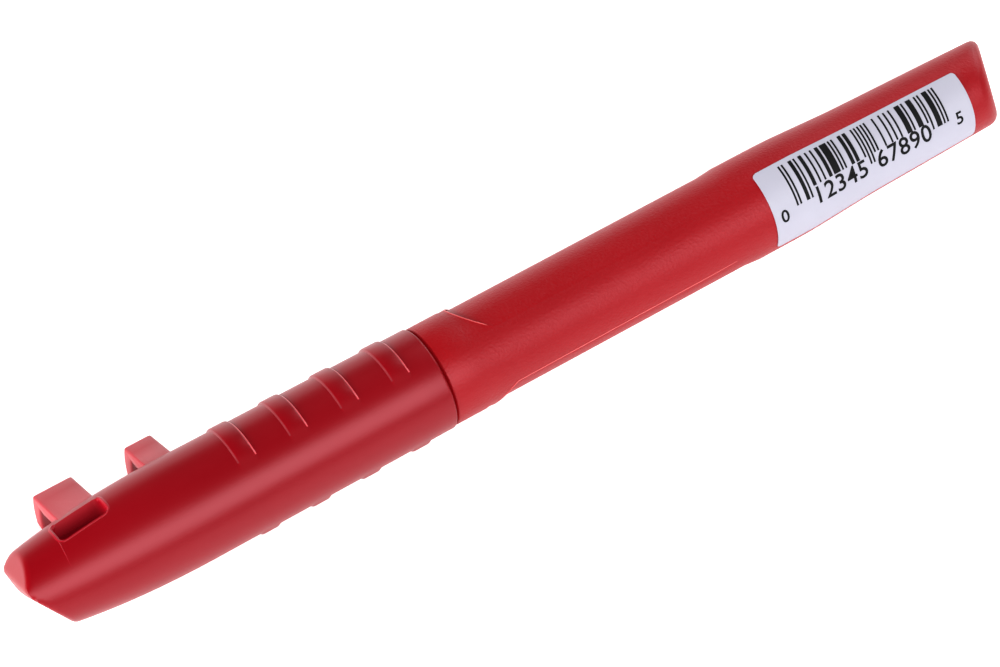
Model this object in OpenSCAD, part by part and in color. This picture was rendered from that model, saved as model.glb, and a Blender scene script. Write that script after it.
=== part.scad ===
// Chisel tip marker with a push-on clip cap, lying along X with the cap at -X.
// It rests on the ribs of the cap and on the ends of the clip hooks.
// Stations are measured from the nose of the cap along the axis.

/* [Overall] */
// length from the nose of the cap to the tail
overall_len = 151.2; // [135:0.1:165]
// wall clearance of pieces that are pushed together and stay
seat_gap = 0.02; // [0.01:0.01:0.05]
// radial clearance of the cap on its two sealing bands
run_gap = 0.05; // [0.02:0.01:0.1]

/* [Cap] */
// length of the cap
cap_len = 59.4; // [50:0.1:70]
// largest radius of the cap, between the clip and the ribs
cap_r = 7.24; // [6.5:0.01:8]
// radius of the cap at its rim
cap_rim_r = 7.05; // [6.4:0.01:7.6]
// radius of the nose end
nose_r = 5.05; // [4:0.01:6]
// station of the largest radius
cap_crown = 24; // [18:0.1:30]
// edge rounding of the nose
nose_round = 0.6; // [0.4:0.1:2]
// slope of the nose end, seen from above
end_slope = 0.23; // [0:0.01:0.5]
// station where the nose end crosses the axis
end_cut = 0.95; // [0.5:0.05:3]
// slope of the facet on the hook side of the nose
near_slope = 0.58; // [0.1:0.01:1]
// station where that facet crosses the axis
near_cut = -0.95; // [-2:0.05:1]
// slope of the facet on the lip side of the nose
far_slope = 0.68; // [0.1:0.01:1]
// station where that facet crosses the axis
far_cut = 0.9; // [0.2:0.05:3]
// lean of the facet on the lip side
far_lean = 14; // [0:1:30]
// height of the edge rounding at the rim
rim_round = 0.3; // [0.1:0.05:0.6]
// radius of the cap bore over the barrel neck
cap_bore_r = 5.8; // [5:0.01:6.3]
// depth of the wide cap bore from the rim
cap_bore_depth = 18.4; // [16:0.1:24]

/* [Grip ribs] */
// number of ribs
rib_count = 4; // [2:1:6]
// height of a rib
rib_h = 0.26; // [0.1:0.01:0.5]
// width of a rib
rib_w = 2.7; // [2:0.1:5]
// distance from rib to rib
rib_pitch = 7.43; // [6:0.01:9]
// distance from the cap rim to the last rib
rib_back = 3.7; // [2:0.1:8]
// half angle of the smooth strip above and below the ribs
rib_clear = 36; // [20:1:60]

/* [Clip] */
// thickness of a hook
hook_t = 2.1; // [1:0.05:2.6]
// outer face of the hook stem from the axis
hook_side = 6.3; // [5.5:0.05:6.6]
// distance from the axis down to the bend of a hook
hook_bend = 10.8; // [9:0.1:11.5]
// distance from the axis down to the outer corner of the tip
hook_tip = 14.95; // [12.1:0.05:16.5]
// distance of that corner from the middle of the cap
hook_reach = 0.8; // [0:0.1:3]
// bow radius of the slanted part of a hook
hook_bow = 20; // [8:0.5:30]
// start of the nose hook
hook1_x = 8.6; // [7:0.1:12]
// width of the nose hook
hook1_w = 5.6; // [3:0.1:8]
// start of the rear hook
hook2_x = 21.7; // [18:0.1:26]
// width of the rear hook
hook2_w = 3.9; // [2:0.1:6]

/* [Cap window] */
// start of the window
window_x = 7.1; // [6:0.1:9]
// length of the window
window_len = 7.1; // [4:0.1:9]
// lower edge of the window from the axis
window_low = -0.7; // [-2:0.1:1]
// upper edge of the window from the axis
window_high = 2.9; // [1.5:0.1:4]
// corner radius of the window
window_round = 0.9; // [0.3:0.1:1.5]
// radius of the hollow nose behind the window
chamber_r = 4.5; // [3.5:0.1:5]

/* [Cap liner] */
// length of the liner
liner_len = 19; // [16:0.1:22]
// outer radius of the liner
liner_r = 5.18; // [4.6:0.01:5.5]
// inner radius of the liner
liner_bore_r = 4; // [3.4:0.01:4.5]
// thickness of the closed end
liner_end = 1; // [0.6:0.1:2]

/* [Barrel] */
// gap between the cap rim and the collar
collar_gap = 0.4; // [0.2:0.05:1]
// radius of the collar
collar_r = 6.88; // [6.3:0.01:7.2]
// width of the collar
collar_w = 4.4; // [2:0.1:8]
// edge rounding of the collar
collar_round = 0.25; // [0.1:0.05:0.5]
// radius of the barrel behind the collar
barrel_r = 6.82; // [6.2:0.01:7.2]
// radius of the barrel where the tail begins
barrel_rear_r = 6.72; // [6.2:0.01:7.2]
// length of the whole tail
tail_len = 36.2; // [30:0.1:46]
// length of its slender rear part
tail_rear_len = 26.2; // [18:0.1:29]
// radius where the slender rear part begins
tail_mid_r = 6.2; // [5.8:0.01:6.6]
// radius at the tail end
tail_r = 5.6; // [5:0.01:6.4]
// slope of the tail end, shorter on top
tail_slope = 0.53; // [0:0.01:0.8]
// turn of the barrel inside the cap
barrel_turn = 6; // [-180:1:180]
// radius of the barrel bore
bore_r = 4.85; // [4:0.01:5.2]
// thickness of the closed tail
tail_wall = 3; // [1.5:0.1:5]
// length of the neck in front of the collar
neck_len = 13.8; // [11:0.1:16]
// radius of the neck
neck_r = 5.5; // [5.2:0.01:5.7]
// distance from the collar to the front of the cap seal band
band_back = 6.2; // [4:0.1:9]
// width of the cap seal band
band_w = 1.4; // [0.8:0.1:3]

/* [Side panels] */
// radius to the panel floor at the middle of the flank
panel_r = 6.47; // [6:0.01:6.8]
// distance from the front of the collar to the panels
panel_front = 5.2; // [4.8:0.1:10]
// length over which the panel floor rises at the label end
panel_ramp = 4.2; // [2:0.1:12]
// distance from the panels to the label
panel_back = 0.4; // [0.2:0.1:6]
// half angle of the ridge between the panels
panel_clear = 36; // [25:1:60]
// radius of the panel end seen from the side
panel_round = 6; // [5.6:0.1:9]

/* [Label] */
// distance from the label to the tail end
label_back = 9.5; // [6:0.1:16]
// length of the label
label_len = 32.7; // [20:0.1:36]
// thickness of the label
label_t = 0.1; // [0.05:0.01:0.2]
// angle of the label edge below the ridge
label_low_angle = -51; // [-90:1:0]
// angle of the label edge above the ridge
label_high_angle = 51; // [0:1:90]
// corner radius of the label
label_round = 0.6; // [0.3:0.1:3]

/* [Nib and ink] */
// distance that the nib point stands out of the neck
nib_out = 21.6; // [18:0.1:23]
// length of the nib
nib_len = 35.6; // [33:0.1:40]
// radius of the nib
nib_r = 2.2; // [1.5:0.05:3]
// half angle of the chisel
chisel_angle = 24; // [15:1:40]
// slant of the chisel edge
chisel_slant = 25; // [0:1:40]
// thickness of the chisel edge
chisel_edge = 0.5; // [0.2:0.1:1.5]
// distance that the nib holder stands out of the neck
holder_out = 15; // [12:0.1:17]
// front radius of the nib holder
holder_front_r = 3; // [2.6:0.05:3.5]
// length of the cone of the holder
holder_cone = 4.5; // [2:0.1:7]
// thickness of the shoulder of the holder
holder_step = 3.4; // [1.5:0.1:4.5]
// shoulder radius of the holder
holder_step_r = 5.3; // [5:0.05:5.5]
// length of the holder inside the barrel
holder_in = 10; // [6:0.1:12]
// radius of the fibre rod
rod_r = 4.55; // [4:0.01:4.7]
// thickness of the film sleeve
wrap_t = 0.15; // [0.05:0.01:0.25]
// space between the holder and the rod
rod_front = 0.2; // [0.1:0.1:2]
// space between the rod and the closed tail
rod_space = 0.6; // [0.1:0.1:5]

/* [Hidden] */
$fn = 96;
nose_x = end_cut - end_slope * (end_cut - near_cut) / (end_slope + near_slope);
rib_last = cap_len - rib_back;
hook_in = hook_side - hook_reach;
hook_down = hook_tip - hook_bend;
hook_lean = atan2(hook_down, hook_in);
hook_half = asin(norm([hook_in, hook_down]) / (2 * hook_bow));
hook_steep = hook_lean + hook_half;
bow_y = hook_side - hook_bow * sin(hook_steep);
bow_z = hook_bow * cos(hook_steep) - hook_bend;
first_rib = rib_last - (rib_count - 1) * rib_pitch;
rest_r = rib_radius(first_rib);
lie = acos(rest_r / norm([hook_reach, hook_tip])) - atan2(hook_reach, hook_tip);
middle_y = (bow_y * cos(lie) - bow_z * sin(lie) + hook_bow - cap_r) / 2;
cap_bore_end = cap_len - cap_bore_depth;
liner_x = cap_bore_end - liner_len;
collar_x = cap_len + collar_gap;
collar_end = collar_x + collar_w;
neck_x = collar_x - neck_len;
band_x = collar_x - band_back;
band_r = cap_bore_r - run_gap;
tail_x = overall_len - tail_len;
tail_mid_x = overall_len - tail_rear_len;
label_x = overall_len - label_back - label_len;
panel_x = collar_x + panel_front;
panel_end = label_x - panel_back;
panel_ramp_x = panel_end - panel_ramp;
panel_edge_y = barrel_r * sin(panel_clear);
panel_shift = (panel_r * panel_r - barrel_r * barrel_r) / (2 * (panel_r - panel_edge_y));
holder_r = liner_bore_r - run_gap;
holder_x = neck_x - holder_out;
holder_cone_x = holder_x + holder_cone;
holder_step_x = neck_x - holder_step;
holder_rear = neck_x + holder_in;
nib_x = neck_x - nib_out;
nib_rear = nib_x + nib_len;
rod_x = holder_rear + rod_front;
bore_end = overall_len - 2 * tail_slope * tail_r - tail_wall;
rod_end = bore_end - rod_space;
nib_hole_r = nib_r + seat_gap;
far = 40;
overrun = 1;
half_turn = 180;
quarter_turn = 90;
curve_steps = 16;
curve_power = 2.2;
round_steps = 6;
chamber_x = 4;
chamber_cone = 4;
chamber_tip_r = 1.5;
band_ramp = 0.4;
stem_top = -1;
cap_red = [0.62, 0.03, 0.08];
barrel_red = [0.68, 0.08, 0.12];

// radius of the cap outside between the nose and the crown
function cap_radius(x) = cap_r - (cap_r - nose_r) * pow((cap_crown - x) / cap_crown, curve_power);

// outer radius of a rib
function rib_radius(x) =
    cap_r - (cap_r - cap_rim_r) * (x - cap_crown) / (cap_len - cap_crown) + rib_h;

// quarter round from one radius to the next in a turned profile
function quarter(x, r, size, from) =
    [for (i = [0:round_steps])
        let (a = from + quarter_turn * i / round_steps)
        [r + size * sin(a), x - size * cos(a)]];

// part frame: marker axis along X, rolled until ribs and hook ends rest on the floor
module placed() {
    translate([-(overall_len + nose_x) / 2, -middle_y, rest_r])
        rotate([lie, 0, 0])
            children();
}

// turned solid along X from a list of [radius, station]
module turned(points) {
    rotate([0, quarter_turn, 0])
        rotate_extrude()
            polygon(points);
}

// cylinder along X between two stations
module rod(x0, x1, r0, r1) {
    translate([x0, 0, 0])
        rotate([0, quarter_turn, 0])
            cylinder(h = x1 - x0, r1 = r0, r2 = r1);
}

// box between two corners
module block(low, high) {
    translate(low)
        cube(high - low);
}

// part of a ring round the axis between two angles, from the top towards the hook side
module sector(x, len, r0, r1, from, to) {
    translate([x, 0, 0])
        rotate([quarter_turn - to, 0, 0])
            rotate([0, quarter_turn, 0])
                rotate([0, 0, quarter_turn])
                    rotate_extrude(angle = to - from)
                        translate([r0, 0])
                            square([r1 - r0, len]);
}

module cap_body() {
    curve_x = nose_round;
    curve_r = cap_radius(curve_x);
    nose_points = quarter(curve_x, curve_r - nose_round, nose_round, 0);
    curve_points = [for (i = [1:curve_steps])
        let (x = curve_x + (cap_crown - curve_x) * i / curve_steps)
        [cap_radius(x), x]];
    rim_points = [[cap_rim_r, cap_len - rim_round], [cap_rim_r - rim_round, cap_len]];
    turned(concat([[0, 0]], nose_points, curve_points, rim_points, [[0, cap_len]]));
}

// slanted cut across the nose, turned about the axis from the lip side
module nose_cutter(station, slope, turn) {
    rotate([turn - quarter_turn, 0, 0])
        translate([station, 0, 0])
            rotate([0, -atan(slope), 0])
                block([-far, -far, -far], [0, far, far]);
}

// one raised band on both flanks
module rib(rim_x) {
    strip = cap_r * cos(rib_clear);
    intersection() {
        rod(rim_x - rib_w, rim_x, rib_radius(rim_x), rib_radius(rim_x));
        block([rim_x - rib_w - overrun, -far, -strip], [rim_x + overrun, far, strip]);
    }
}

// two bent hooks: stems down the near flank, then bowed parts slanting in to the floor
module hooks() {
    hooks_end = hook2_x + hook2_w;
    difference() {
        union() {
            block([hook1_x, hook_side - hook_t, -hook_bend], [hooks_end, hook_side, stem_top]);
            translate([0, bow_y, bow_z])
                sector(hook1_x, hooks_end - hook1_x, hook_bow - hook_t, hook_bow,
                    half_turn - hook_steep, half_turn);
        }
        block([hook1_x + hook1_w, -far, -far], [hook2_x, far, far]);
        rotate([-lie, 0, 0])
            block([hook1_x - overrun, -far, -far], [hooks_end + overrun, far, -rest_r]);
    }
}

// rounded window through the near flank
module window() {
    x1 = window_x + window_len;
    block([window_x + window_round, 0, window_low], [x1 - window_round, far, window_high]);
    block([window_x, 0, window_low + window_round], [x1, far, window_high - window_round]);
    for (x = [window_x + window_round, x1 - window_round])
        for (z = [window_low + window_round, window_high - window_round])
            translate([x, 0, z])
                rotate([-quarter_turn, 0, 0])
                    cylinder(h = far, r = window_round);
}

module cap_hollow() {
    rod(cap_bore_end, cap_len + overrun, cap_bore_r, cap_bore_r);
    rod(liner_x, cap_bore_end + overrun, liner_r + seat_gap, liner_r + seat_gap);
    rod(chamber_x + chamber_cone, liner_x + overrun, chamber_r, chamber_r);
    rod(chamber_x, chamber_x + chamber_cone, chamber_tip_r, chamber_r);
}

module cap_shell() {
    color(cap_red)
        placed()
            difference() {
                union() {
                    difference() {
                        union() {
                            cap_body();
                            for (i = [0:rib_count - 1])
                                rib(rib_last - i * rib_pitch);
                        }
                        nose_cutter(end_cut, end_slope, 0);
                        nose_cutter(far_cut, far_slope, -far_lean);
                        nose_cutter(near_cut, near_slope, 180);
                        window();
                    }
                    hooks();
                }
                cap_hollow();
            }
}

module cap_liner() {
    color([0.9, 0.9, 0.88])
        placed()
            difference() {
                rod(liner_x + seat_gap, cap_bore_end, liner_r, liner_r);
                rod(liner_x + liner_end, cap_bore_end + overrun, liner_bore_r, liner_bore_r);
            }
}

module barrel_body() {
    turned([[0, collar_x], [collar_r - collar_round, collar_x], [collar_r, collar_x + collar_round],
        [collar_r, collar_end], [barrel_r, collar_end + collar_round],
        [barrel_rear_r, tail_x], [tail_mid_r, tail_mid_x],
        [tail_r, overall_len], [0, overall_len]]);
}

// slanted cut across the tail, lowest point at full length
module tail_cutter() {
    translate([overall_len, 0, -tail_r])
        rotate([0, -atan(tail_slope), 0])
            block([0, -far, -far], [far, far, far]);
}

// what stays standing under the panel of one flank, so that the hollow runs out at its long edges
module panel_floor(side) {
    translate([0, side * panel_shift, 0]) {
        rod(collar_x, panel_ramp_x, panel_r - panel_shift, panel_r - panel_shift);
        rod(panel_ramp_x, panel_end, panel_r - panel_shift, barrel_r - panel_shift);
    }
}

// outline of the panel of one flank seen from the side, reaching out from the axis
module panel_area(side) {
    half = barrel_r * cos(panel_clear);
    intersection() {
        union() {
            block([panel_x + panel_round, -far, -far], [panel_end, far, far]);
            translate([panel_x + panel_round, far, 0])
                rotate([quarter_turn, 0, 0])
                    cylinder(h = 2 * far, r = panel_round);
        }
        block([panel_x, min(0, side * far), -half], [panel_end, max(0, side * far), half]);
    }
}

module neck() {
    rod(neck_x, collar_x + overrun, neck_r, neck_r);
    rod(band_x - band_ramp, band_x, neck_r, band_r);
    rod(band_x, band_x + band_w, band_r, band_r);
    rod(band_x + band_w, band_x + band_w + band_ramp, band_r, neck_r);
}

module barrel() {
    color(barrel_red)
        placed()
            rotate([-barrel_turn, 0, 0])
                difference() {
                    union() {
                        difference() {
                            barrel_body();
                            for (side = [-1, 1])
                                difference() {
                                    panel_area(side);
                                    panel_floor(side);
                                }
                        }
                        neck();
                    }
                    rod(neck_x - overrun, bore_end, bore_r, bore_r);
                    rotate([barrel_turn, 0, 0])
                        tail_cutter();
                }
}

// strip of the barrel outline lifted by the given amount
module label_profile(lift) {
    label_end = label_x + label_len;
    slope = (tail_r - tail_mid_r) / (overall_len - tail_mid_x);
    turned([
        [0, label_x],
        [barrel_rear_r + lift + (barrel_r - barrel_rear_r) * (tail_x - label_x)
            / (tail_x - collar_end - collar_round), label_x],
        [barrel_rear_r + lift, tail_x],
        [tail_mid_r + lift, tail_mid_x],
        [tail_mid_r + lift + slope * (label_end - tail_mid_x), label_end],
        [0, label_end]]);
}

// square corner of the label cut away to a round one
module label_corner(x, x_sign, angle, turn_sign) {
    lean = turn_sign * label_round * half_turn / (PI * tail_mid_r);
    rotate([-angle + lean, 0, 0])
        translate([x - x_sign * label_round, 0, 0])
            difference() {
                block([min(0, x_sign * far), min(0, turn_sign * far), 0],
                    [max(0, x_sign * far), max(0, turn_sign * far), far]);
                cylinder(h = 2 * far, r = label_round);
            }
}

module label() {
    color([0.87, 0.86, 0.9])
        placed()
            rotate([-barrel_turn, 0, 0])
                difference() {
                    intersection() {
                        label_profile(seat_gap + label_t);
                        sector(label_x, label_len, 0, far, label_low_angle, label_high_angle);
                    }
                    label_profile(seat_gap);
                    for (end = [[label_x, -1], [label_x + label_len, 1]])
                        for (side = [[label_low_angle, -1], [label_high_angle, 1]])
                            label_corner(end[0], end[1], side[0], side[1]);
                }
}

module nib_holder() {
    color([0.12, 0.12, 0.13])
        placed()
            difference() {
                union() {
                    rod(holder_x, holder_cone_x, holder_front_r, holder_r);
                    rod(holder_cone_x, holder_step_x, holder_r, holder_r);
                    rod(holder_step_x, neck_x - seat_gap, holder_step_r, holder_step_r);
                    rod(neck_x - overrun, holder_rear, bore_r - seat_gap, bore_r - seat_gap);
                }
                rod(holder_x - overrun, holder_rear + overrun, nib_hole_r, nib_hole_r);
            }
}

// wedge beside the chisel edge, mirrored for the other face
module chisel_side() {
    translate([nib_x, chisel_edge / 2, 0])
        rotate([0, 0, chisel_angle])
            block([-far / 2, 0, -far], [far, far, far]);
}

module chisel_nib() {
    color([0.06, 0.06, 0.07])
        placed()
            difference() {
                rod(nib_x, nib_rear, nib_r, nib_r);
                chisel_side();
                mirror([0, 1, 0])
                    chisel_side();
                translate([nib_x, 0, nib_r])
                    rotate([0, -chisel_slant, 0])
                        block([-far, -far, -far], [0, far, far]);
            }
}

module ink_reservoir() {
    color([0.16, 0.15, 0.15])
        placed()
            difference() {
                rod(rod_x, rod_end, rod_r, rod_r);
                rod(rod_x - overrun, nib_rear + seat_gap, nib_hole_r, nib_hole_r);
            }
}

module reservoir_wrap() {
    wrap_bore_r = rod_r + seat_gap;
    color([0.75, 0.76, 0.8])
        placed()
            difference() {
                rod(rod_x, rod_end, wrap_bore_r + wrap_t, wrap_bore_r + wrap_t);
                rod(rod_x - overrun, rod_end + overrun, wrap_bore_r, wrap_bore_r);
            }
}

cap_shell();
cap_liner();
barrel();
label();
nib_holder();
chisel_nib();
ink_reservoir();
reservoir_wrap();
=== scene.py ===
import math

import bmesh
import bpy
from mathutils import Matrix, Vector


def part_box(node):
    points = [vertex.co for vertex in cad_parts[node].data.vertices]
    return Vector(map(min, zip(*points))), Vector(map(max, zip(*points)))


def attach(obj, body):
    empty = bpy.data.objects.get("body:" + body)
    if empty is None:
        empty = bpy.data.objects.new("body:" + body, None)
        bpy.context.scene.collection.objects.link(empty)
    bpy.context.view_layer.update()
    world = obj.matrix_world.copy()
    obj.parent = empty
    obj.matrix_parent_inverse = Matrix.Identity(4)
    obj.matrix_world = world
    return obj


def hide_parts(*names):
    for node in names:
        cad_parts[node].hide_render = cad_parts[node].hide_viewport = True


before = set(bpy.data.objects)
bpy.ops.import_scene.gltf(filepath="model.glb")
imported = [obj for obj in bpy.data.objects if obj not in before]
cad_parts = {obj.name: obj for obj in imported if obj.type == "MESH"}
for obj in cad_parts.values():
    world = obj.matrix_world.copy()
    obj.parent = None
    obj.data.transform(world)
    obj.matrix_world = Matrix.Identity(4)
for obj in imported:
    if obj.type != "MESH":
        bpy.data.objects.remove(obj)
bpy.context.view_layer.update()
print("frame loaded:", ", ".join(sorted(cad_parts)))

mm = 0.001
hair = 0.01  # mm, slack when faces are picked by their place
speck = 0.001 * mm  # points closer than this count as one
beadRounding = 2

# pieces are modelled with the marker axis on X and stations in mm from the nose, then laid down
pen = {"length": 151.2, "roll": 57.097, "turns": 120}

barrelLow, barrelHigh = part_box("barrel")
penMatrix = Matrix.Translation((
    barrelHigh.x - pen["length"] * mm,
    (barrelLow.y + barrelHigh.y) / 2,
    (barrelLow.z + barrelHigh.z) / 2,
)) @ Matrix.Rotation(math.radians(pen["roll"]), 4, "X")


def deselectAll():
    if bpy.context.object and bpy.context.object.mode != "OBJECT":
        bpy.ops.object.mode_set(mode="OBJECT")
    bpy.ops.object.select_all(action="DESELECT")


def pick(piece):
    deselectAll()
    piece.select_set(True)
    bpy.context.view_layer.objects.active = piece


def editFaces(piece):
    pick(piece)
    bpy.ops.object.mode_set(mode="EDIT")
    bpy.ops.mesh.select_mode(type="FACE")


def editVerts(piece):
    pick(piece)
    bpy.ops.object.mode_set(mode="EDIT")
    bpy.ops.mesh.select_mode(type="VERT")


def selectFaces(piece, wanted):
    sheet = bmesh.from_edit_mesh(piece.data)
    for face in sheet.faces:
        face.select_set(False)
    for face in sheet.faces:
        if wanted(face.calc_center_median() / mm):
            face.select_set(True)
    sheet.select_flush_mode()
    bmesh.update_edit_mesh(piece.data)


def selectVerts(piece, wanted):
    sheet = bmesh.from_edit_mesh(piece.data)
    for vert in sheet.verts:
        vert.select_set(wanted(vert.co / mm))
    sheet.select_flush_mode()
    bmesh.update_edit_mesh(piece.data)


def applyAll(piece):
    pick(piece)
    for modifier in list(piece.modifiers):
        bpy.ops.object.modifier_apply(modifier=modifier.name)


def cutWith(piece, tool, operation):
    trim = piece.modifiers.new("cut", "BOOLEAN")
    trim.operation = operation
    trim.solver = "EXACT"
    trim.material_mode = "TRANSFER"
    trim.object = tool
    applyAll(piece)
    bpy.data.objects.remove(tool)


# the cuts leave slivers and many-sided faces, which would export as empty triangles
def cleanCuts(piece):
    editVerts(piece)
    bpy.ops.mesh.select_all(action="SELECT")
    bpy.ops.mesh.remove_doubles(threshold=speck)
    bpy.ops.mesh.dissolve_degenerate(threshold=speck)
    bpy.ops.mesh.select_mode(type="FACE")
    bpy.ops.mesh.select_all(action="DESELECT")
    bpy.ops.mesh.select_face_by_sides(number=4, type="GREATER")
    bpy.ops.mesh.quads_convert_to_tris(quad_method="BEAUTY", ngon_method="BEAUTY")
    sheet = bmesh.from_edit_mesh(piece.data)
    strays = [face for face in sheet.faces if sum(edge.is_boundary for edge in face.edges) > 1]
    bmesh.ops.delete(sheet, geom=strays, context="FACES")
    bmesh.update_edit_mesh(piece.data)
    bpy.ops.object.mode_set(mode="OBJECT")


def layDown(piece, body):
    piece.data.transform(penMatrix)
    piece.data.update()
    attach(piece, body)


def smoothMax(a, b, blend):
    near = max(blend - abs(a - b), 0.0) / blend
    return max(a, b) + near * near * blend / 4


# one vertex is drawn along the outline, then spun round the axis
def spinOutline(name, outline):
    deselectAll()
    bpy.ops.mesh.primitive_plane_add(size=mm)
    shell = bpy.context.object
    shell.name = name
    bpy.ops.object.mode_set(mode="EDIT")
    bpy.ops.mesh.select_mode(type="VERT")
    bpy.ops.mesh.select_all(action="SELECT")
    bpy.ops.mesh.merge(type="CENTER")
    station, radius = outline[0]
    bpy.ops.transform.translate(value=(station * mm, 0, radius * mm))
    for nextStation, nextRadius in outline[1:]:
        step = ((nextStation - station) * mm, 0, (nextRadius - radius) * mm)
        bpy.ops.mesh.extrude_region_move(TRANSFORM_OT_translate={"value": step})
        station, radius = nextStation, nextRadius
    bpy.ops.mesh.select_all(action="SELECT")
    bpy.ops.mesh.spin(steps=pen["turns"], angle=math.tau, center=(0, 0, 0), axis=(1, 0, 0))
    bpy.ops.mesh.select_all(action="SELECT")
    bpy.ops.mesh.remove_doubles(threshold=2 * speck)
    bpy.ops.mesh.normals_make_consistent(inside=False)
    bpy.ops.object.mode_set(mode="OBJECT")
    return shell


press = {"near": 0.5, "far": 16.0, "halvings": 34}


# end rings are pushed along rays from a point on the axis until they meet the solid's skin
def pressOnto(piece, centre, skin, wanted):
    for vert in piece.data.vertices:
        place = vert.co / mm
        if not wanted(place):
            continue
        ray = (place - centre).normalized()
        near, far = press["near"], press["far"]
        for halving in range(press["halvings"]):
            middle = (near + far) / 2
            if skin(centre + ray * middle) < 0:
                near = middle
            else:
                far = middle
        vert.co = (centre + ray * near) * mm
    piece.data.update()


def quarterRound(station, radius, size, steps, out):
    points = []
    for i in range(steps + 1):
        angle = math.pi / 2 * i / steps
        if out:  # from the end face to the wall
            turned = (size - size * math.cos(angle), size * math.sin(angle) - size)
        else:  # from the wall to the end face
            turned = (size * math.sin(angle) - size, size * math.cos(angle) - size)
        points.append((station + turned[0], radius + turned[1]))
    return points


def newGroup(name, inputs, outputs):
    group = bpy.data.node_groups.new(name, "ShaderNodeTree")
    for label, kind, value in inputs:
        socket = group.interface.new_socket(label, in_out="INPUT", socket_type=kind)
        socket.default_value = value
    for label, kind in outputs:
        group.interface.new_socket(label, in_out="OUTPUT", socket_type=kind)
    return group, group.nodes.new("NodeGroupInput"), group.nodes.new("NodeGroupOutput")


grainNoise = {"detail": 3.0, "rough": 0.55, "cloudDetail": 2.0}


# fine moulded grain: height for the bump, a roughness that wanders, a slow cloud for the colour
def makeGrainGroup():
    group, given, out = newGroup("mouldGrain", [
        ("Grain Scale", "NodeSocketFloat", 4000.0), ("Cloud Scale", "NodeSocketFloat", 60.0),
        ("Rough Low", "NodeSocketFloat", 0.3), ("Rough High", "NodeSocketFloat", 0.4),
    ], [("Height", "NodeSocketFloat"), ("Roughness", "NodeSocketFloat"), ("Cloud", "NodeSocketFloat")])
    nodes, links = group.nodes, group.links
    place = nodes.new("ShaderNodeTexCoord")
    grain = nodes.new("ShaderNodeTexNoise")
    grain.inputs["Detail"].default_value = grainNoise["detail"]
    grain.inputs["Roughness"].default_value = grainNoise["rough"]
    cloud = nodes.new("ShaderNodeTexNoise")
    cloud.inputs["Detail"].default_value = grainNoise["cloudDetail"]
    rough = nodes.new("ShaderNodeMapRange")
    links.new(place.outputs["Object"], grain.inputs["Vector"])
    links.new(place.outputs["Object"], cloud.inputs["Vector"])
    links.new(given.outputs["Grain Scale"], grain.inputs["Scale"])
    links.new(given.outputs["Cloud Scale"], cloud.inputs["Scale"])
    links.new(cloud.outputs["Fac"], rough.inputs["Value"])
    links.new(given.outputs["Rough Low"], rough.inputs["To Min"])
    links.new(given.outputs["Rough High"], rough.inputs["To Max"])
    links.new(grain.outputs["Fac"], out.inputs["Height"])
    links.new(rough.outputs["Result"], out.inputs["Roughness"])
    links.new(cloud.outputs["Fac"], out.inputs["Cloud"])
    return group


mouldGrain = makeGrainGroup()
plastic = {"ior": 1.5, "specular": 0.5, "tint": (1, 1, 1), "glow": 0.0}


def makePlastic(name, look):
    paint = bpy.data.materials.new(name)
    paint.use_nodes = True
    nodes, links = paint.node_tree.nodes, paint.node_tree.links
    shader = nodes["Principled BSDF"]
    shader.inputs["IOR"].default_value = plastic["ior"]
    shader.inputs["Specular IOR Level"].default_value = look.get("specular", plastic["specular"])
    shader.inputs["Specular Tint"].default_value = (*look.get("tint", plastic["tint"]), 1)
    # a look's glow is painted light: the part glows as if light came through the red plastic
    shader.inputs["Emission Color"].default_value = (*look["light"], 1)
    shader.inputs["Emission Strength"].default_value = look.get("glow", plastic["glow"])
    grain = nodes.new("ShaderNodeGroup")
    grain.node_tree = mouldGrain
    grain.inputs["Grain Scale"].default_value = look["grain"]
    grain.inputs["Cloud Scale"].default_value = look["cloud"]
    grain.inputs["Rough Low"].default_value = look["rough"][0]
    grain.inputs["Rough High"].default_value = look["rough"][1]
    mix = nodes.new("ShaderNodeMix")
    mix.data_type = "RGBA"  # its colours are inputs 6 and 7, and output 2
    mix.inputs[6].default_value = (*look["dark"], 1)
    mix.inputs[7].default_value = (*look["light"], 1)
    bump = nodes.new("ShaderNodeBump")
    bump.inputs["Strength"].default_value = look["bump"]
    bump.inputs["Distance"].default_value = look["bumpDepth"] * mm
    links.new(grain.outputs["Cloud"], mix.inputs[0])
    links.new(mix.outputs[2], shader.inputs["Base Color"])
    links.new(grain.outputs["Roughness"], shader.inputs["Roughness"])
    links.new(grain.outputs["Height"], bump.inputs["Height"])
    links.new(bump.outputs["Normal"], shader.inputs["Normal"])
    return paint


def dress(piece, look):
    piece.data.materials.clear()
    piece.data.materials.append(paints[look])


def paintFaces(piece, look, wanted):
    piece.data.materials.append(paints[look])
    for face in piece.data.polygons:
        if wanted(face.center / mm):
            face.material_index = len(piece.data.materials) - 1


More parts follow.
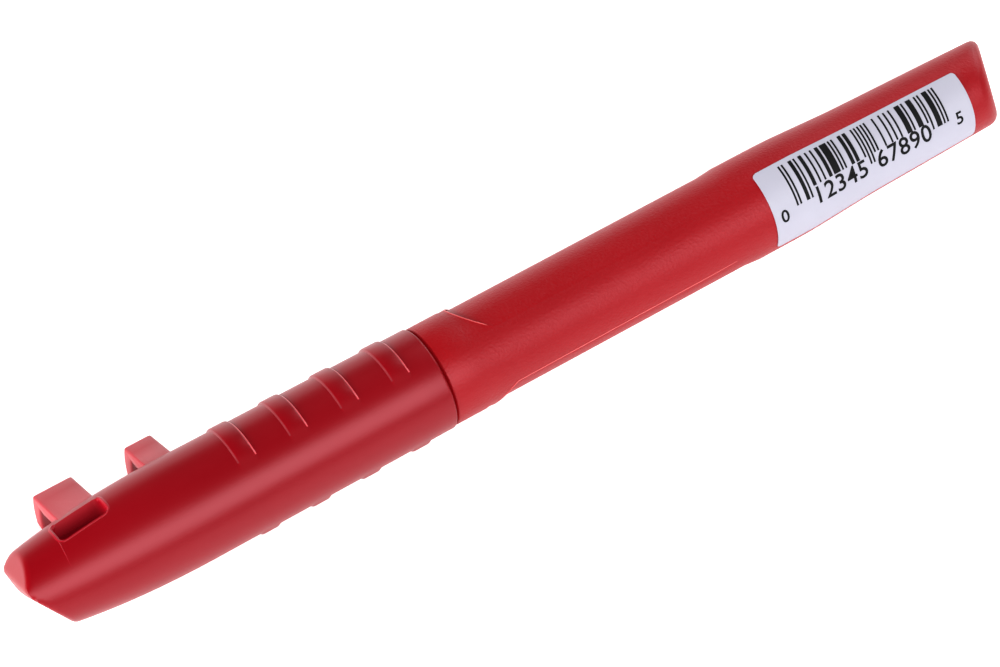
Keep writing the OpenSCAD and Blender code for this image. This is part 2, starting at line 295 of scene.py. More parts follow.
looks = {
    "capCrimson": {"dark": (0.218, 0.0, 0.005), "light": (0.244, 0.001, 0.007),
                   "specular": 0.6, "rough": (0.34, 0.39),
                   "tint": (1, 0.62, 0.68), "grain": 6000, "cloud": 90, "bump": 0.25, "bumpDepth": 0.02},
    "barrelRed": {"dark": (0.268, 0.001, 0.005), "light": (0.306, 0.003, 0.007),
                  "specular": 0.58, "rough": (0.40, 0.48),
                  "tint": (1, 0.62, 0.68), "grain": 3000, "cloud": 70, "bump": 0.9, "bumpDepth": 0.06},
    # painted highlight: a much lighter red on the ribs' rim sides, standing in for light caught by their
    # rounded edges
    "ribRimHighlight": {"dark": (0.56, 0.05, 0.07), "light": (0.65, 0.08, 0.10), "rough": (0.29, 0.34),
                "grain": 6000, "cloud": 400, "bump": 0.2, "bumpDepth": 0.02},
    # painted highlight: a faint pinkish red on the ribs' nose sides
    "ribNoseHighlight": {"dark": (0.21, 0.022, 0.03), "light": (0.24, 0.03, 0.038), "rough": (0.30, 0.36),
                "grain": 6000, "cloud": 400, "bump": 0.2, "bumpDepth": 0.02},
    # painted highlight: a lighter red on the window lip and the slide mark, standing in for light caught
    # along them
    "lipHighlight": {"dark": (0.31, 0.008, 0.02), "light": (0.36, 0.014, 0.028), "rough": (0.30, 0.36),
               "grain": 6000, "cloud": 300, "bump": 0.2, "bumpDepth": 0.02},
    # painted light: the hooks are a lighter copy of the cap red, standing in for light shining through their
    # thin walls
    "hookLitRed": {"dark": (0.32, 0.004, 0.015), "light": (0.365, 0.008, 0.021),
                "specular": 0.42, "rough": (0.34, 0.39),
                "grain": 6000, "cloud": 120, "bump": 0.25, "bumpDepth": 0.02},
    # painted glow: the cap's inside and the window's walls glow dark red, standing in for light through the
    # plastic
    "capInsideGlow": {"dark": (0.25, 0.004, 0.013), "light": (0.30, 0.006, 0.017), "rough": (0.40, 0.48),
                  "glow": 0.3, "grain": 6000, "cloud": 120, "bump": 0.2, "bumpDepth": 0.02},
    # painted highlight: a lighter, pinker red on the panel's edge beads, standing in for light caught along
    # them
    "panelBeadHighlight": {"dark": (0.48, 0.07, 0.075), "light": (0.56, 0.10, 0.10), "rough": (0.36, 0.43),
                   "grain": 5000, "cloud": 400, "bump": 0.2, "bumpDepth": 0.02},
    # painted glow: the barrel face inside the seam under the cap glows dark red, standing in for light
    # through the plastic
    "seamGlow": {"dark": (0.268, 0.001, 0.005), "light": (0.306, 0.003, 0.007), "rough": (0.40, 0.48),
                "glow": 0.45, "grain": 5000, "cloud": 120, "bump": 0.3, "bumpDepth": 0.02},
    "linerWhite": {"dark": (0.72, 0.70, 0.66), "light": (0.80, 0.79, 0.76), "rough": (0.35, 0.45),
                   "grain": 4000, "cloud": 90, "bump": 0.2, "bumpDepth": 0.02},
    "holderRed": {"dark": (0.30, 0.004, 0.01), "light": (0.37, 0.007, 0.014), "rough": (0.38, 0.46),
                  "grain": 5000, "cloud": 90, "bump": 0.3, "bumpDepth": 0.02},
    "nibFelt": {"dark": (0.10, 0.002, 0.006), "light": (0.26, 0.006, 0.014), "rough": (0.75, 0.95),
                "grain": 2600, "cloud": 1400, "bump": 0.9, "bumpDepth": 0.08},
    "inkFibre": {"dark": (0.16, 0.004, 0.01), "light": (0.30, 0.01, 0.02), "rough": (0.8, 0.95),
                 "grain": 2200, "cloud": 900, "bump": 0.9, "bumpDepth": 0.1},
    "wrapFilm": {"dark": (0.62, 0.62, 0.65), "light": (0.72, 0.72, 0.75), "rough": (0.12, 0.25),
                 "grain": 1500, "cloud": 300, "bump": 0.2, "bumpDepth": 0.02},
    "labelPaper": {"dark": (0.38, 0.372, 0.434), "light": (0.417, 0.409, 0.472), "rough": (0.45, 0.6),
                   "grain": 9000, "cloud": 120, "bump": 0.25, "bumpDepth": 0.01},
    "printInk": {"dark": (0.003, 0.003, 0.004), "light": (0.007, 0.007, 0.008),
                 "specular": 0.2, "rough": (0.5, 0.65),
                 "grain": 9000, "cloud": 2500, "bump": 0.2, "bumpDepth": 0.01},
}
paints = {name: makePlastic(name, look) for name, look in looks.items()}
print("finishes:", len(paints))


cap = {
    "length": 59.4, "noseRadius": 5.05, "crown": 24.0, "crownRadius": 7.24, "rimRadius": 7.05,
    "bow": 2.2, "noseCentre": 7.0, "noseRings": 30, "noseStart": 6.4, "edgeBlend": 0.42,
    "endCut": 0.95, "endSlope": 0.23, "nearCut": -0.95, "nearSlope": 0.58,
    "farCut": 0.9, "farSlope": 0.68, "farLean": 14.0,
    "rimRound": 0.3, "boreRadius": 5.8, "boreEnd": 41.0, "seatRadius": 5.2, "seatEnd": 22.0,
    "chamberRadius": 4.5, "chamberEnd": 8.0, "tipRadius": 1.5, "tipEnd": 4.0, "wallSkin": 4.7,
    "tipSkin": 3.9, "crownRings": 22, "rimSteps": 5, "mouthCut": 0.2,
    "pickSlack": 0.05, "insideBelow": 0.35, "smooth": 32,
}


def capRadius(station):
    if station < cap["crown"]:
        bend = ((cap["crown"] - station) / cap["crown"]) ** cap["bow"]
        return cap["crownRadius"] - (cap["crownRadius"] - cap["noseRadius"]) * bend
    along = (station - cap["crown"]) / (cap["length"] - cap["crown"])
    return cap["crownRadius"] - (cap["crownRadius"] - cap["rimRadius"]) * along


def noseSkin(place):
    station, y, z = place
    lean = math.radians(cap["farLean"])
    farSide = y * math.cos(lean) - z * math.sin(lean)
    facets = (
        (cap["endCut"] - cap["endSlope"] * y - station) / math.hypot(1, cap["endSlope"]),
        (cap["nearCut"] + cap["nearSlope"] * y - station) / math.hypot(1, cap["nearSlope"]),
        (cap["farCut"] - cap["farSlope"] * farSide - station) / math.hypot(1, cap["farSlope"]),
    )
    skin = math.hypot(y, z) - capRadius(max(station, 0.0))
    for facet in facets:
        skin = smoothMax(skin, facet, cap["edgeBlend"])
    return skin


def makeCapBody():
    outline = []
    for i in range(cap["noseRings"] + 1):
        angle = math.pi / 2 * i / cap["noseRings"]
        outline.append((
            cap["noseCentre"] - cap["noseStart"] * math.cos(angle),
            cap["noseStart"] * math.sin(angle),
        ))
    outline[-1] = (cap["noseCentre"], capRadius(cap["noseCentre"]))
    for i in range(1, cap["crownRings"] + 1):
        station = cap["noseCentre"] + (cap["crown"] - cap["noseCentre"]) * i / cap["crownRings"]
        outline.append((station, capRadius(station)))
    outline += quarterRound(cap["length"], cap["rimRadius"], cap["rimRound"], cap["rimSteps"], False)
    outline += [
        (cap["length"], cap["boreRadius"] + cap["mouthCut"]),
        (cap["length"] - cap["mouthCut"], cap["boreRadius"]),
        (cap["boreEnd"], cap["boreRadius"]), (cap["boreEnd"], cap["seatRadius"]),
        (cap["seatEnd"], cap["seatRadius"]), (cap["seatEnd"], cap["chamberRadius"]),
        (cap["chamberEnd"], cap["chamberRadius"]), (cap["tipEnd"], cap["tipRadius"]), (cap["tipEnd"], 0),
    ]
    body = spinOutline("capSkin", outline)
    pressOnto(
        body, Vector((cap["noseCentre"], 0, 0)), noseSkin,
        lambda p: p.x < cap["noseCentre"] + hair
        and (p.x < cap["tipSkin"] or math.hypot(p.y, p.z) > cap["wallSkin"]),
    )
    return body


ribs = {
    "count": 4, "last": 55.7, "pitch": 7.43, "width": 2.72, "height": 0.26, "side": 0.36,
    "sideCuts": (-0.06, 0.0, 0.1, 0.22, 0.36), "wallFrom": 6.5,
    "clear": 36.0, "clearBelow": 50.0, "fade": 18.0,
    # edgeFrom, edgeFromBelow and edge set where the painted rib-side highlights begin and how wide they are
    "edgeFrom": 42.0, "edgeFromBelow": 72.0, "edge": 0.22,
}


# angle from the nearer smooth strip, 0 at the strip's middle and 90 on the flank
def flankAngle(place):
    return math.degrees(math.acos(min(1.0, abs(place.z) / math.hypot(place.y, place.z))))


def onWall(place):
    inLength = cap["crown"] < place.x < cap["length"] - cap["rimRound"]
    return inLength and math.hypot(place.y, place.z) > ribs["wallFrom"]


def ribSides():
    rims = [ribs["last"] - i * ribs["pitch"] for i in range(ribs["count"])]
    return [(rim - ribs["width"], rim) for rim in rims]


# the wall is cut into bands, then each band is pushed out with rounded sides and fading ends
def raiseRibs(body):
    sides = ribSides()
    editFaces(body)
    for noseSide, rimSide in sides:
        for inset in ribs["sideCuts"]:
            for station in (noseSide + inset, rimSide - inset):
                selectFaces(body, onWall)
                bpy.ops.mesh.bisect(plane_co=(station * mm, 0, 0), plane_no=(1, 0, 0), threshold=speck)
    sheet = bmesh.from_edit_mesh(body.data)
    for vert in sheet.verts:
        place = vert.co / mm
        if not onWall(place):
            continue
        inset = max(min(place.x - a, b - place.x) for a, b in sides)
        if inset <= 0:
            continue
        lift = math.sin(math.pi / 2 * min(inset / ribs["side"], 1.0))
        clear = ribs["clear"] if place.y > 0 else ribs["clearBelow"]
        fade = min(1.0, max(0.0, (flankAngle(place) - clear) / ribs["fade"]))
        rise = ribs["height"] * lift * fade * fade * (3 - 2 * fade)
        vert.co += Vector((0, place.y, place.z)).normalized() * rise * mm
    bmesh.update_edit_mesh(body.data)
    bpy.ops.object.mode_set(mode="OBJECT")


# rounded sides of the ribs, where they stand high enough to catch light; these faces carry painted
# highlights, lighter on the rim side and faintly pinkish on the nose side
def onRibSide(place, toNose):
    low = ribs["edgeFrom"] if place.y > 0 else ribs["edgeFromBelow"]
    if not onWall(place) or flankAngle(place) < low:
        return False
    depths = [place.x - noseSide if toNose else rimSide - place.x for noseSide, rimSide in ribSides()]
    return any(0 < depth < ribs["edge"] for depth in depths)


def insideCap(place):
    slack = cap["pickSlack"]
    out = math.hypot(place.y, place.z)
    if place.x < cap["noseCentre"]:
        return place.x > cap["tipEnd"] - slack and out < cap["chamberRadius"] + slack
    return place.x < cap["length"] - slack and out < capRadius(place.x) - cap["insideBelow"]


clip = {
    "thick": 2.1, "side": 6.3, "bend": 10.8, "tip": 14.95, "reach": 0.8, "bow": 20.0,
    "top": 1.0, "straight": 8.2, "steps": 8, "past": 5.0, "rest": 7.4495,
    "soft": 0.4, "softSteps": 3, "softFrom": 25,
    "hooks": ((8.6, 5.6), (21.7, 3.9)),
}


# stem, then the bowed part step by step, cut flat where it stands on the table
def makeHook(start, width):
    inward, down = clip["side"] - clip["reach"], clip["tip"] - clip["bend"]
    lean = math.atan2(down, inward)
    half = math.asin(math.hypot(inward, down) / (2 * clip["bow"]))
    steep, shallow = lean + half, lean - half - math.radians(clip["past"])
    centreY = clip["side"] - clip["bow"] * math.sin(steep)
    centreZ = clip["bow"] * math.cos(steep) - clip["bend"]
    deselectAll()
    bpy.ops.mesh.primitive_cube_add(size=mm)
    hook = bpy.context.object
    hook.name = "hook"
    hook.scale = (width, clip["thick"], clip["straight"] - clip["top"])
    hook.location = (
        (start + width / 2) * mm,
        (clip["side"] - clip["thick"] / 2) * mm,
        -(clip["straight"] + clip["top"]) / 2 * mm,
    )
    bpy.ops.object.transform_apply(location=True, rotation=True, scale=True)
    editFaces(hook)
    selectFaces(hook, lambda p: p.z < -clip["straight"] + hair)
    for i in range(clip["steps"] + 1):
        angle = steep + (shallow - steep) * i / clip["steps"]
        bpy.ops.mesh.extrude_region_move()
        sheet = bmesh.from_edit_mesh(hook.data)
        ends = [vert for vert in sheet.verts if vert.select]
        ends.sort(key=lambda v: math.hypot(v.co.y / mm - centreY, v.co.z / mm - centreZ))
        for vert, radius in zip(ends, [clip["bow"] - clip["thick"]] * 2 + [clip["bow"]] * 2):
            vert.co.y = (centreY + radius * math.sin(angle)) * mm
            vert.co.z = (centreZ - radius * math.cos(angle)) * mm
        bmesh.update_edit_mesh(hook.data)
    roll = math.radians(pen["roll"])
    floorWay = Vector((0, -math.sin(roll), -math.cos(roll)))
    bpy.ops.mesh.select_all(action="SELECT")
    bpy.ops.mesh.bisect(
        plane_co=floorWay * clip["rest"] * mm, plane_no=floorWay, use_fill=True, clear_outer=True,
    )
    bpy.ops.mesh.select_all(action="SELECT")
    bpy.ops.mesh.normals_make_consistent(inside=False)
    bpy.ops.object.mode_set(mode="OBJECT")
    edges = hook.modifiers.new("soft edges", "BEVEL")
    edges.width = clip["soft"] * mm
    edges.segments = clip["softSteps"]
    edges.limit_method = "ANGLE"
    edges.angle_limit = math.radians(clip["softFrom"])
    applyAll(hook)
    # the hooks take the lighter, lit copy of the cap red
    dress(hook, "hookLitRed")
    return hook


window = {
    "start": 7.1, "length": 7.1, "low": -0.7, "high": 2.9, "round": 0.9, "roundSteps": 6,
    "inside": 2.0, "outside": 9.0, "lip": 0.3, "sink": 0.22, "lipOut": 0.14, "thinLip": 0.55,
    "lipSteps": 8, "lipStride": 0.4,
}


def makeWindowTool():
    deselectAll()
    bpy.ops.mesh.primitive_cube_add(size=mm)
    tool = bpy.context.object
    tool.scale = (window["length"], window["outside"] - window["inside"], window["high"] - window["low"])
    tool.location = (
        (window["start"] + window["length"] / 2) * mm,
        (window["outside"] + window["inside"]) / 2 * mm,
        (window["high"] + window["low"]) / 2 * mm,
    )
    bpy.ops.object.transform_apply(location=True, rotation=True, scale=True)
    pick(tool)
    bpy.ops.object.mode_set(mode="EDIT")
    bpy.ops.mesh.select_mode(type="EDGE")
    sheet = bmesh.from_edit_mesh(tool.data)
    for edge in sheet.edges:
        run = edge.verts[0].co - edge.verts[1].co
        edge.select_set(abs(run.y) > abs(run.x) + abs(run.z))
    bmesh.update_edit_mesh(tool.data)
    bpy.ops.mesh.bevel(offset=window["round"] * mm, segments=window["roundSteps"], affect="EDGES")
    bpy.ops.object.mode_set(mode="OBJECT")
    # the window's cut walls take the glowing inside red
    dress(tool, "capInsideGlow")
    return tool


# soft bead round the window, laid on the cap's skin
def makeWindowLip():
    left, right = window["start"] + window["round"], window["start"] + window["length"] - window["round"]
    low, high = window["low"] + window["round"], window["high"] - window["round"]
    reach = window["round"] + window["lipOut"]
    corners = ((right, low, 315, 45), (right, high, 0, 90), (left, high, 90, 90), (left, low, 180, 90))
    rim = []
    for station, height, turn, sweep in corners:
        for i in range(window["lipSteps"] + 1):
            angle = math.radians(turn + sweep * i / window["lipSteps"])
            rim.append((station + reach * math.cos(angle), height + reach * math.sin(angle)))
    path, swell = [], []
    for (x0, z0), (x1, z1) in zip(rim, rim[1:]):
        count = max(1, int(math.hypot(x1 - x0, z1 - z0) / window["lipStride"]))
        for i in range(count):
            station, height = x0 + (x1 - x0) * i / count, z0 + (z1 - z0) * i / count
            away = min(1.0, (high + reach - height) / window["round"])  # thinner along the front side
            swell.append(window["thinLip"] + (1 - window["thinLip"]) * away)
            radius = capRadius(station) - window["sink"] * swell[-1]
            path.append((station, math.sqrt(radius ** 2 - height ** 2), height))
    return makeBead("windowLip", path, window["lip"], swell)


def makeBead(name, path, radius, swell=None):
    deselectAll()
    line = bpy.data.curves.new(name, "CURVE")
    line.dimensions = "3D"
    spline = line.splines.new("POLY")
    spline.points.add(len(path) - 1)
    for i, place in enumerate(path):
        spline.points[i].co = (place[0] * mm, place[1] * mm, place[2] * mm, 1)
        spline.points[i].radius = swell[i] if swell else 1.0
    line.bevel_depth = radius * mm
    line.bevel_resolution = beadRounding
    line.use_fill_caps = True
    bead = bpy.data.objects.new(name, line)
    bpy.context.scene.collection.objects.link(bead)
    pick(bead)
    bpy.ops.object.convert(target="MESH")
    return bpy.context.object


slideMark = {
    "station": 6.95, "drift": -0.35, "from": 66.0, "to": 27.0, "steps": 12,
    "radius": 0.08, "sink": 0.05, "sinkMore": 0.03,
}


# faint witness of the mould slide, running on from the window's corner
def makeSlideMark():
    path = []
    for i in range(slideMark["steps"] + 1):
        share = i / slideMark["steps"]
        angle = math.radians(slideMark["from"] + (slideMark["to"] - slideMark["from"]) * share)
        station = slideMark["station"] + slideMark["drift"] * share
        radius = capRadius(station) - slideMark["sink"] - slideMark["sinkMore"] * share
        path.append((station, radius * math.sin(angle), radius * math.cos(angle)))
    return makeBead("slideMark", path, slideMark["radius"])


capSkin = makeCapBody()
raiseRibs(capSkin)
dress(capSkin, "capCrimson")
for start, width in clip["hooks"]:
    cutWith(capSkin, makeHook(start, width), "UNION")
cutWith(capSkin, makeWindowTool(), "DIFFERENCE")
lip = makeWindowLip()
mark = makeSlideMark()
# painted highlights on the ribs' sides
paintFaces(capSkin, "ribRimHighlight", lambda p: onRibSide(p, False))
paintFaces(capSkin, "ribNoseHighlight", lambda p: onRibSide(p, True))
# painted glow on the cap's inside faces
paintFaces(capSkin, "capInsideGlow", insideCap)
# the lip and the slide mark get the painted highlight red
dress(lip, "lipHighlight")
dress(mark, "lipHighlight")
pick(capSkin)
lip.select_set(True)
mark.select_set(True)
bpy.ops.object.join()
cleanCuts(capSkin)
bpy.ops.object.shade_smooth_by_angle(angle=math.radians(cap["smooth"]))
layDown(capSkin, "cap")
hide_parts("cap_shell")
print("cap:", len(capSkin.data.polygons), "faces")


barrel = {
    "neck": 46.0, "neckRadius": 5.5, "bore": 4.85, "boreEnd": 142.26, "bandAt": 53.6, "bandWidth": 1.4,
    "bandRadius": 5.75, "bandRamp": 0.4, "collar": 59.68, "collarRadius": 6.88, "collarWidth": 4.52,
    "collarRound": 0.25, "radius": 6.82, "rearRadius": 6.72, "tail": 115.0, "tailMid": 125.0,
    "tailMidRadius": 6.2, "tailRadius": 5.6, "tailSlope": 0.53, "endCentre": 140.0, "endStart": 7.5,
    "endRings": 30, "endBlend": 1.5, "endSkin": 143.0, "wallSkin": 5.1, "turn": 6.0,
    "neckRound": 0.2, "neckSteps": 3, "collarSteps": 4, "smooth": 20,
    "bends": (112.5, 114.0, 115.0, 116.0, 117.5, 120.0, 122.5, 124.0, 125.0, 126.0, 127.5, 132.0, 136.0),
    "bendSpread": (-1.5, -0.5, 0.5, 1.5),
}


def barrelRadius(station):
    knots = (
        (barrel["collar"] + barrel["collarWidth"] + barrel["collarRound"], barrel["radius"]),
        (barrel["tail"], barrel["rearRadius"]),
        (barrel["tailMid"], barrel["tailMidRadius"]),
        (pen["length"], barrel["tailRadius"]),
    )
    for (s0, r0), (s1, r1) in zip(knots, knots[1:]):
        if station <= s1:
            return r0 + (r1 - r0) * (station - s0) / (s1 - s0)
    return r1


def tailSkin(place):
    station, y, z = place
    endPlane = pen["length"] - barrel["tailSlope"] * (z + barrel["tailRadius"])
    end = (station - endPlane) / math.hypot(1, barrel["tailSlope"])
    return smoothMax(math.hypot(y, z) - barrelRadius(station), end, barrel["endBlend"])


def makeBarrelBody():
    ramp = barrel["bandRamp"]
    bandEnd = barrel["bandAt"] + barrel["bandWidth"]
    collarEnd = barrel["collar"] + barrel["collarWidth"]
    outline = [(barrel["boreEnd"], 0), (barrel["boreEnd"], barrel["bore"]), (barrel["neck"], barrel["bore"])]
    outline += quarterRound(
        barrel["neck"], barrel["neckRadius"], barrel["neckRound"], barrel["neckSteps"], True,
    )
    outline += [
        (barrel["bandAt"] - ramp, barrel["neckRadius"]), (barrel["bandAt"], barrel["bandRadius"]),
        (bandEnd, barrel["bandRadius"]), (bandEnd + ramp, barrel["neckRadius"]),
        (barrel["collar"], barrel["neckRadius"]),
    ]
    outline += quarterRound(
        barrel["collar"], barrel["collarRadius"], barrel["collarRound"], barrel["collarSteps"], True,
    )
    outline += [(collarEnd, barrel["collarRadius"]), (collarEnd + barrel["collarRound"], barrel["radius"])]
    for station in barrel["bends"]:
        near = [barrelRadius(station + shift) for shift in barrel["bendSpread"]]
        outline.append((station, sum(near) / len(near)))  # averaged, so the bends are soft
    outline.append((barrel["endCentre"], barrelRadius(barrel["endCentre"])))
    for i in range(1, barrel["endRings"] + 1):
        angle = math.pi / 2 * (1 - i / barrel["endRings"])
        outline.append((
            barrel["endCentre"] + barrel["endStart"] * math.cos(angle),
            barrel["endStart"] * math.sin(angle),
        ))
    outline[-1] = (outline[-1][0], 0)
    body = spinOutline("barrelSkin", outline)
    pressOnto(
        body, Vector((barrel["endCentre"], 0, 0)), tailSkin,
        lambda p: p.x > barrel["endCentre"] + hair
        and (p.x > barrel["endSkin"] or math.hypot(p.y, p.z) > barrel["wallSkin"]),
    )
    return body


panel = {
    "start": 65.0, "end": 108.6, "ramp": 4.2, "floor": 6.47, "clear": 36.0, "round": 6.0, "roundSides": 96,
    "over": 12.0, "reach": 20.0, "lead": 0.5, "inset": 2.0, "stretch": 50.0,
}


# ring about an offset axis, so the hollow is deepest on the flank and runs out at its long edges
def makePanelTool(side):
    edge = math.radians(90 - panel["clear"])
    edgeY, edgeZ = barrel["radius"] * math.cos(edge), barrel["radius"] * math.sin(edge)
    offset = (panel["floor"] ** 2 - edgeY ** 2 - edgeZ ** 2) / (2 * (panel["floor"] - edgeY))
    floor, rise = panel["floor"] - offset, barrel["radius"] - offset
    front = panel["start"] - panel["lead"]
    ring = spinOutline("panelTool", [
        (front, floor), (panel["end"] - panel["ramp"], floor), (panel["end"], rise),
        (panel["end"], panel["over"]), (front, panel["over"]), (front, floor),
    ])
    ring.data.transform(Matrix.Translation((0, side * offset * mm, 0)))
    deselectAll()
    bpy.ops.mesh.primitive_cylinder_add(
        vertices=panel["roundSides"], radius=panel["round"] * mm, depth=panel["reach"] * mm,
        rotation=(math.pi / 2, 0, 0),
        location=(
            (panel["start"] + panel["round"]) * mm,
            side * (panel["reach"] / 2 + panel["inset"]) * mm, 0,
        ),
    )
    slab = bpy.context.object
    bpy.ops.object.transform_apply(location=True, rotation=True, scale=True)
    editVerts(slab)
    selectVerts(slab, lambda p: p.x > panel["start"] + panel["round"] + hair)
    bpy.ops.transform.translate(value=(panel["stretch"] * mm, 0, 0))
    for way in (1, -1):
        bpy.ops.mesh.select_all(action="SELECT")
        bpy.ops.mesh.bisect(
            plane_co=(0, 0, way * edgeZ * mm), plane_no=(0, 0, way), use_fill=True, clear_outer=True,
        )
    bpy.ops.mesh.select_all(action="SELECT")
    bpy.ops.mesh.normals_make_consistent(inside=False)
    bpy.ops.object.mode_set(mode="OBJECT")
    cutWith(ring, slab, "INTERSECT")
    ring.data.transform(Matrix.Rotation(math.radians(-barrel["turn"]), 4, "X"))
    return ring


panelEdge = {
    "radius": 0.1, "sink": 0.05, "dive": 0.12, "diveShare": 0.12, "steps": 40,
    "sides": ((1, False), (-1, True)),
}


# soft raised edge round the panel's cap end, and along its upper side where that shows
def makePanelEdge(side, alongToo):
    edge = math.radians(90 - panel["clear"])
    top = barrel["radius"] * math.sin(edge)
    reach = math.degrees(math.asin(top / panel["round"]))
    outline, steps = [], panelEdge["steps"]
    for i in range(steps + 1):
        angle = math.radians(-reach + 2 * reach * i / steps)
        outline.append((
            panel["start"] + panel["round"] * (1 - math.cos(angle)), panel["round"] * math.sin(angle),
        ))
    if alongToo:
        first, last = outline[-1][0], panel["end"]
        outline += [(first + (last - first) * i / steps, top) for i in range(1, steps + 1)]
    path = []
    for i, (station, height) in enumerate(outline):
        fromEnd = min(i, len(outline) - 1 - i) / (len(outline) - 1)
        dive = max(0.0, 1 - fromEnd / panelEdge["diveShare"]) * panelEdge["dive"]
        radius = barrelRadius(station) - panelEdge["sink"] - dive
        path.append((station, side * math.sqrt(radius ** 2 - height ** 2), height))
    bead = makeBead("panelEdge", path, panelEdge["radius"])
    bead.data.transform(Matrix.Rotation(math.radians(-barrel["turn"]), 4, "X"))
    return bead


barrelSkin = makeBarrelBody()
for side in (1, -1):
    cutWith(barrelSkin, makePanelTool(side), "DIFFERENCE")
edges = [makePanelEdge(side, alongToo) for side, alongToo in panelEdge["sides"]]
dress(barrelSkin, "barrelRed")
# painted glow on the face that the cap meets, so the seam reads dark red
paintFaces(barrelSkin, "seamGlow", lambda p: abs(p.x - barrel["collar"]) < hair)  # face that the cap meets
pick(barrelSkin)
for edge in edges:
    # the panel's edge beads get the painted highlight red
    dress(edge, "panelBeadHighlight")
    edge.select_set(True)
bpy.ops.object.join()
cleanCuts(barrelSkin)
bpy.ops.object.shade_smooth_by_angle(angle=math.radians(barrel["smooth"]))
layDown(barrelSkin, "body")
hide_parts("barrel")
print("barrel:", len(barrelSkin.data.polygons), "faces")


# bars and plain numbers printed on the label
printing = {
    "first": 112.65, "module": 0.2642, "top": 51.0, "short": 13.0, "long": 2.0, "barSteps": 16,
    "lift": 0.135, "depth": 0.03, "smooth": 30,
    "number": "012345678905", "bold": 0.035, "spacing": 1.07, "curveSteps": 4, "slice": 0.25,
    # digits from and up to, station, line in degrees, size
    "groups": (
        (0, 1, 110.6, -9.5, 2.5), (1, 6, 119.8, -9.0, 3.4),
        (6, 11, 130.3, -9.0, 3.4), (11, 12, 139.4, -9.5, 2.5),
    ),
}
digitBars = {
    "0": "3211", "1": "2221", "2": "2122", "3": "1411", "4": "1132",
    "5": "1231", "6": "1114", "7": "1312", "8": "1213", "9": "3112",
}


def labelRadius(station):
    return barrelRadius(station) + printing["lift"]


def onLabel(station, angle):
    radius = labelRadius(station)
    turn = math.radians(angle)
    return Vector((station, radius * math.sin(turn), radius * math.cos(turn))) * mm


# an edge along the axis, spun from the bar's top to its foot
def makeBar(start, width, foot):
    deselectAll()
    bpy.ops.mesh.primitive_plane_add(size=mm)
    bar = bpy.context.object
    bpy.ops.object.mode_set(mode="EDIT")
    bpy.ops.mesh.select_mode(type="VERT")
    bpy.ops.mesh.select_all(action="SELECT")
    bpy.ops.mesh.merge(type="CENTER")
    bpy.ops.transform.translate(value=onLabel(start, printing["top"]))
    bpy.ops.mesh.extrude_region_move(TRANSFORM_OT_translate={
        "value": onLabel(start + width, printing["top"]) - onLabel(start, printing["top"]),
    })
    bpy.ops.mesh.select_all(action="SELECT")
    bpy.ops.mesh.spin(
        steps=printing["barSteps"], angle=math.radians(foot - printing["top"]),
        center=(0, 0, 0), axis=(1, 0, 0),
    )
    bpy.ops.object.mode_set(mode="OBJECT")
    return bar


# left digits start with a gap, right ones with a bar
def makeBars():
    number = printing["number"]
    half = len(number) // 2
    runs = [("111", True, True)]
    for i, digit in enumerate(number):
        if i == half:
            runs.append(("11111", True, False))
        runs.append((digitBars[digit], i in (0, len(number) - 1), i >= half))
    runs.append(("111", True, True))
    bars, station = [], printing["first"]
    for widths, tall, inked in runs:
        for width in widths:
            wide = int(width) * printing["module"]
            if inked:
                bars.append(makeBar(station, wide, printing["long"] if tall else printing["short"]))
            station += wide
            inked = not inked
    return bars


def makeNumber(words, station, line, size):
    deselectAll()
    bpy.ops.object.text_add()
    text = bpy.context.object
    text.data.body = words
    text.data.size = size * mm
    text.data.offset = printing["bold"] * mm
    text.data.align_x = "CENTER"
    text.data.resolution_u = printing["curveSteps"]
    text.data.space_character = printing["spacing"]
    bpy.ops.object.convert(target="MESH")
    text = bpy.context.object
    editFaces(text)
    cut = printing["slice"]
    while cut < size:
        bpy.ops.mesh.select_all(action="SELECT")
        bpy.ops.mesh.bisect(plane_co=(0, cut * mm, 0), plane_no=(0, 1, 0), threshold=speck)
        cut += printing["slice"]
    bpy.ops.object.mode_set(mode="OBJECT")
    for vert in text.data.vertices:
        place = station + vert.co.x / mm
        vert.co = onLabel(place, line + math.degrees(vert.co.y / mm / labelRadius(place)))
    return text


bars = makeBars()
numbers = [
    makeNumber(printing["number"][first:last], station, line, size)
    for first, last, station, line, size in printing["groups"]
]
deselectAll()
for piece in bars + numbers:
    piece.select_set(True)
labelPrint = bars[0]
bpy.context.view_layer.objects.active = labelPrint
bpy.ops.object.join()
labelPrint.name = "labelPrint"
editVerts(labelPrint)
bpy.ops.mesh.select_all(action="SELECT")
bpy.ops.mesh.dissolve_degenerate(threshold=speck)
sheet = bmesh.from_edit_mesh(labelPrint.data)
for face in sheet.faces:
    out = face.calc_center_median()
    face.normal_update()
    if face.normal.dot(Vector((0, out.y, out.z))) < 0:
        face.normal_flip()
bmesh.update_edit_mesh(labelPrint.data)
bpy.ops.object.mode_set(mode="OBJECT")
ink = labelPrint.modifiers.new("ink", "SOLIDIFY")
ink.thickness = printing["depth"] * mm
ink.offset = -1
applyAll(labelPrint)
editFaces(labelPrint)
bpy.ops.mesh.select_all(action="SELECT")
bpy.ops.mesh.normals_make_consistent(inside=False)
bpy.ops.object.mode_set(mode="OBJECT")
bpy.ops.object.shade_smooth_by_angle(angle=math.radians(printing["smooth"]))
dress(labelPrint, "printInk")
layDown(labelPrint, "body")
print("label print:", len(labelPrint.data.polygons), "faces")


# finishes of the pieces that come from the frame
nodeLooks = {
    "cap_shell": "capCrimson", "cap_liner": "linerWhite", "barrel": "barrelRed", "label": "labelPaper",
    "nib_holder": "holderRed", "chisel_nib": "nibFelt",
    "ink_reservoir": "inkFibre", "reservoir_wrap": "wrapFilm",
}
for node, look in nodeLooks.items():
    dress(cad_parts[node], look)
print("finishes set")


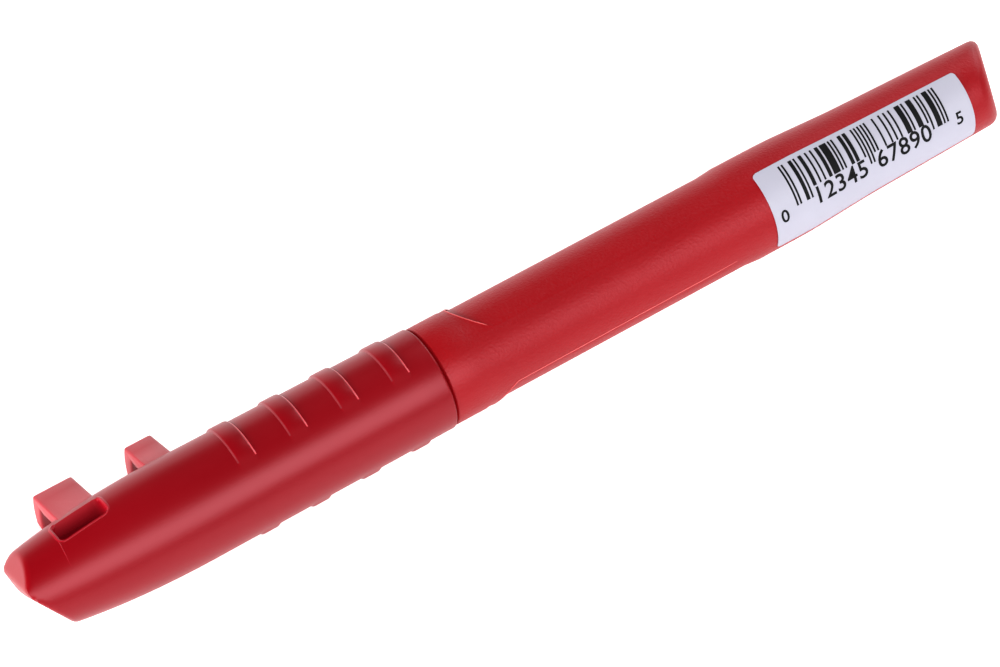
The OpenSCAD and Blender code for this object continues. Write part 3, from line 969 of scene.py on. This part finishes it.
# softboxes by place and size in metres, power in watts
studio = {
    "floor": 3.0, "floorShade": 0.8, "floorRough": 0.9, "floorGlow": 0.52,
    "world": 0.14, "exposure": 0.0, "gamma": 0.8,
    "front": {"place": (-0.05, -0.70, 0.56), "size": (1.3, 0.58), "power": 13.5},
    "back": {"place": (0.2, 0.95, 0.16), "size": (1.5, 0.26), "power": 2.0},
    "left": {"place": (-0.95, 0.25, 0.27), "size": (0.7, 0.5), "power": 19.0, "glare": False},
    "right": {"place": (0.80, 0.36, 0.50), "size": (0.8, 0.7), "power": 6.4},
}


def makeFloor():
    deselectAll()
    bpy.ops.mesh.primitive_plane_add(size=studio["floor"])
    floor = bpy.context.object
    floor.name = "floor"
    paint = bpy.data.materials.new("paleFloor")
    paint.use_nodes = True
    shader = paint.node_tree.nodes["Principled BSDF"]
    shader.inputs["Base Color"].default_value = (studio["floorShade"],) * 3 + (1,)
    shader.inputs["Roughness"].default_value = studio["floorRough"]
    shader.inputs["Emission Color"].default_value = (1, 1, 1, 1)
    shader.inputs["Emission Strength"].default_value = studio["floorGlow"]
    floor.data.materials.append(paint)


def addSoftbox(name, box):
    lamp = bpy.data.lights.new(name, "AREA")
    lamp.shape = "RECTANGLE"
    lamp.size, lamp.size_y = box["size"]
    lamp.energy = box["power"]
    holder = bpy.data.objects.new(name, lamp)
    holder.location = box["place"]
    holder.visible_glossy = box.get("glare", True)
    holder.rotation_euler = (-Vector(box["place"])).to_track_quat("-Z", "Y").to_euler()
    bpy.context.scene.collection.objects.link(holder)


makeFloor()
for name in ("front", "back", "left", "right"):
    addSoftbox(name + "Softbox", studio[name])
room = bpy.data.worlds.new("studio")
room.use_nodes = True
room.node_tree.nodes["Background"].inputs["Color"].default_value = (1, 1, 1, 1)
room.node_tree.nodes["Background"].inputs["Strength"].default_value = studio["world"]
bpy.context.scene.world = room
bpy.context.scene.view_settings.view_transform = "Standard"
bpy.context.scene.view_settings.exposure = studio["exposure"]
bpy.context.scene.view_settings.gamma = studio["gamma"]

# camera fitted to the rim, ribs and label edges of the photographed marker
eye = {
    "place": (-0.14194, -0.22431, 0.38941),
    "right": (0.84181, -0.53963, -0.01233), "up": (0.45145, 0.69136, 0.5641),
    "forward": (0.29588, 0.48044, -0.82561), "lens": 129.6, "sensor": 36.0, "clip": (0.01, 20.0),
}
lensData = bpy.data.cameras.new("photoCamera")
lensData.lens = eye["lens"]
lensData.sensor_width = eye["sensor"]
lensData.clip_start, lensData.clip_end = eye["clip"]
camera = bpy.data.objects.new("photoCamera", lensData)
bpy.context.scene.collection.objects.link(camera)
camera.matrix_world = Matrix((
    (eye["right"][0], eye["up"][0], -eye["forward"][0], eye["place"][0]),
    (eye["right"][1], eye["up"][1], -eye["forward"][1], eye["place"][1]),
    (eye["right"][2], eye["up"][2], -eye["forward"][2], eye["place"][2]),
    (0, 0, 0, 1),
))
bpy.context.scene.camera = camera
print("studio ready")

deselectAll()
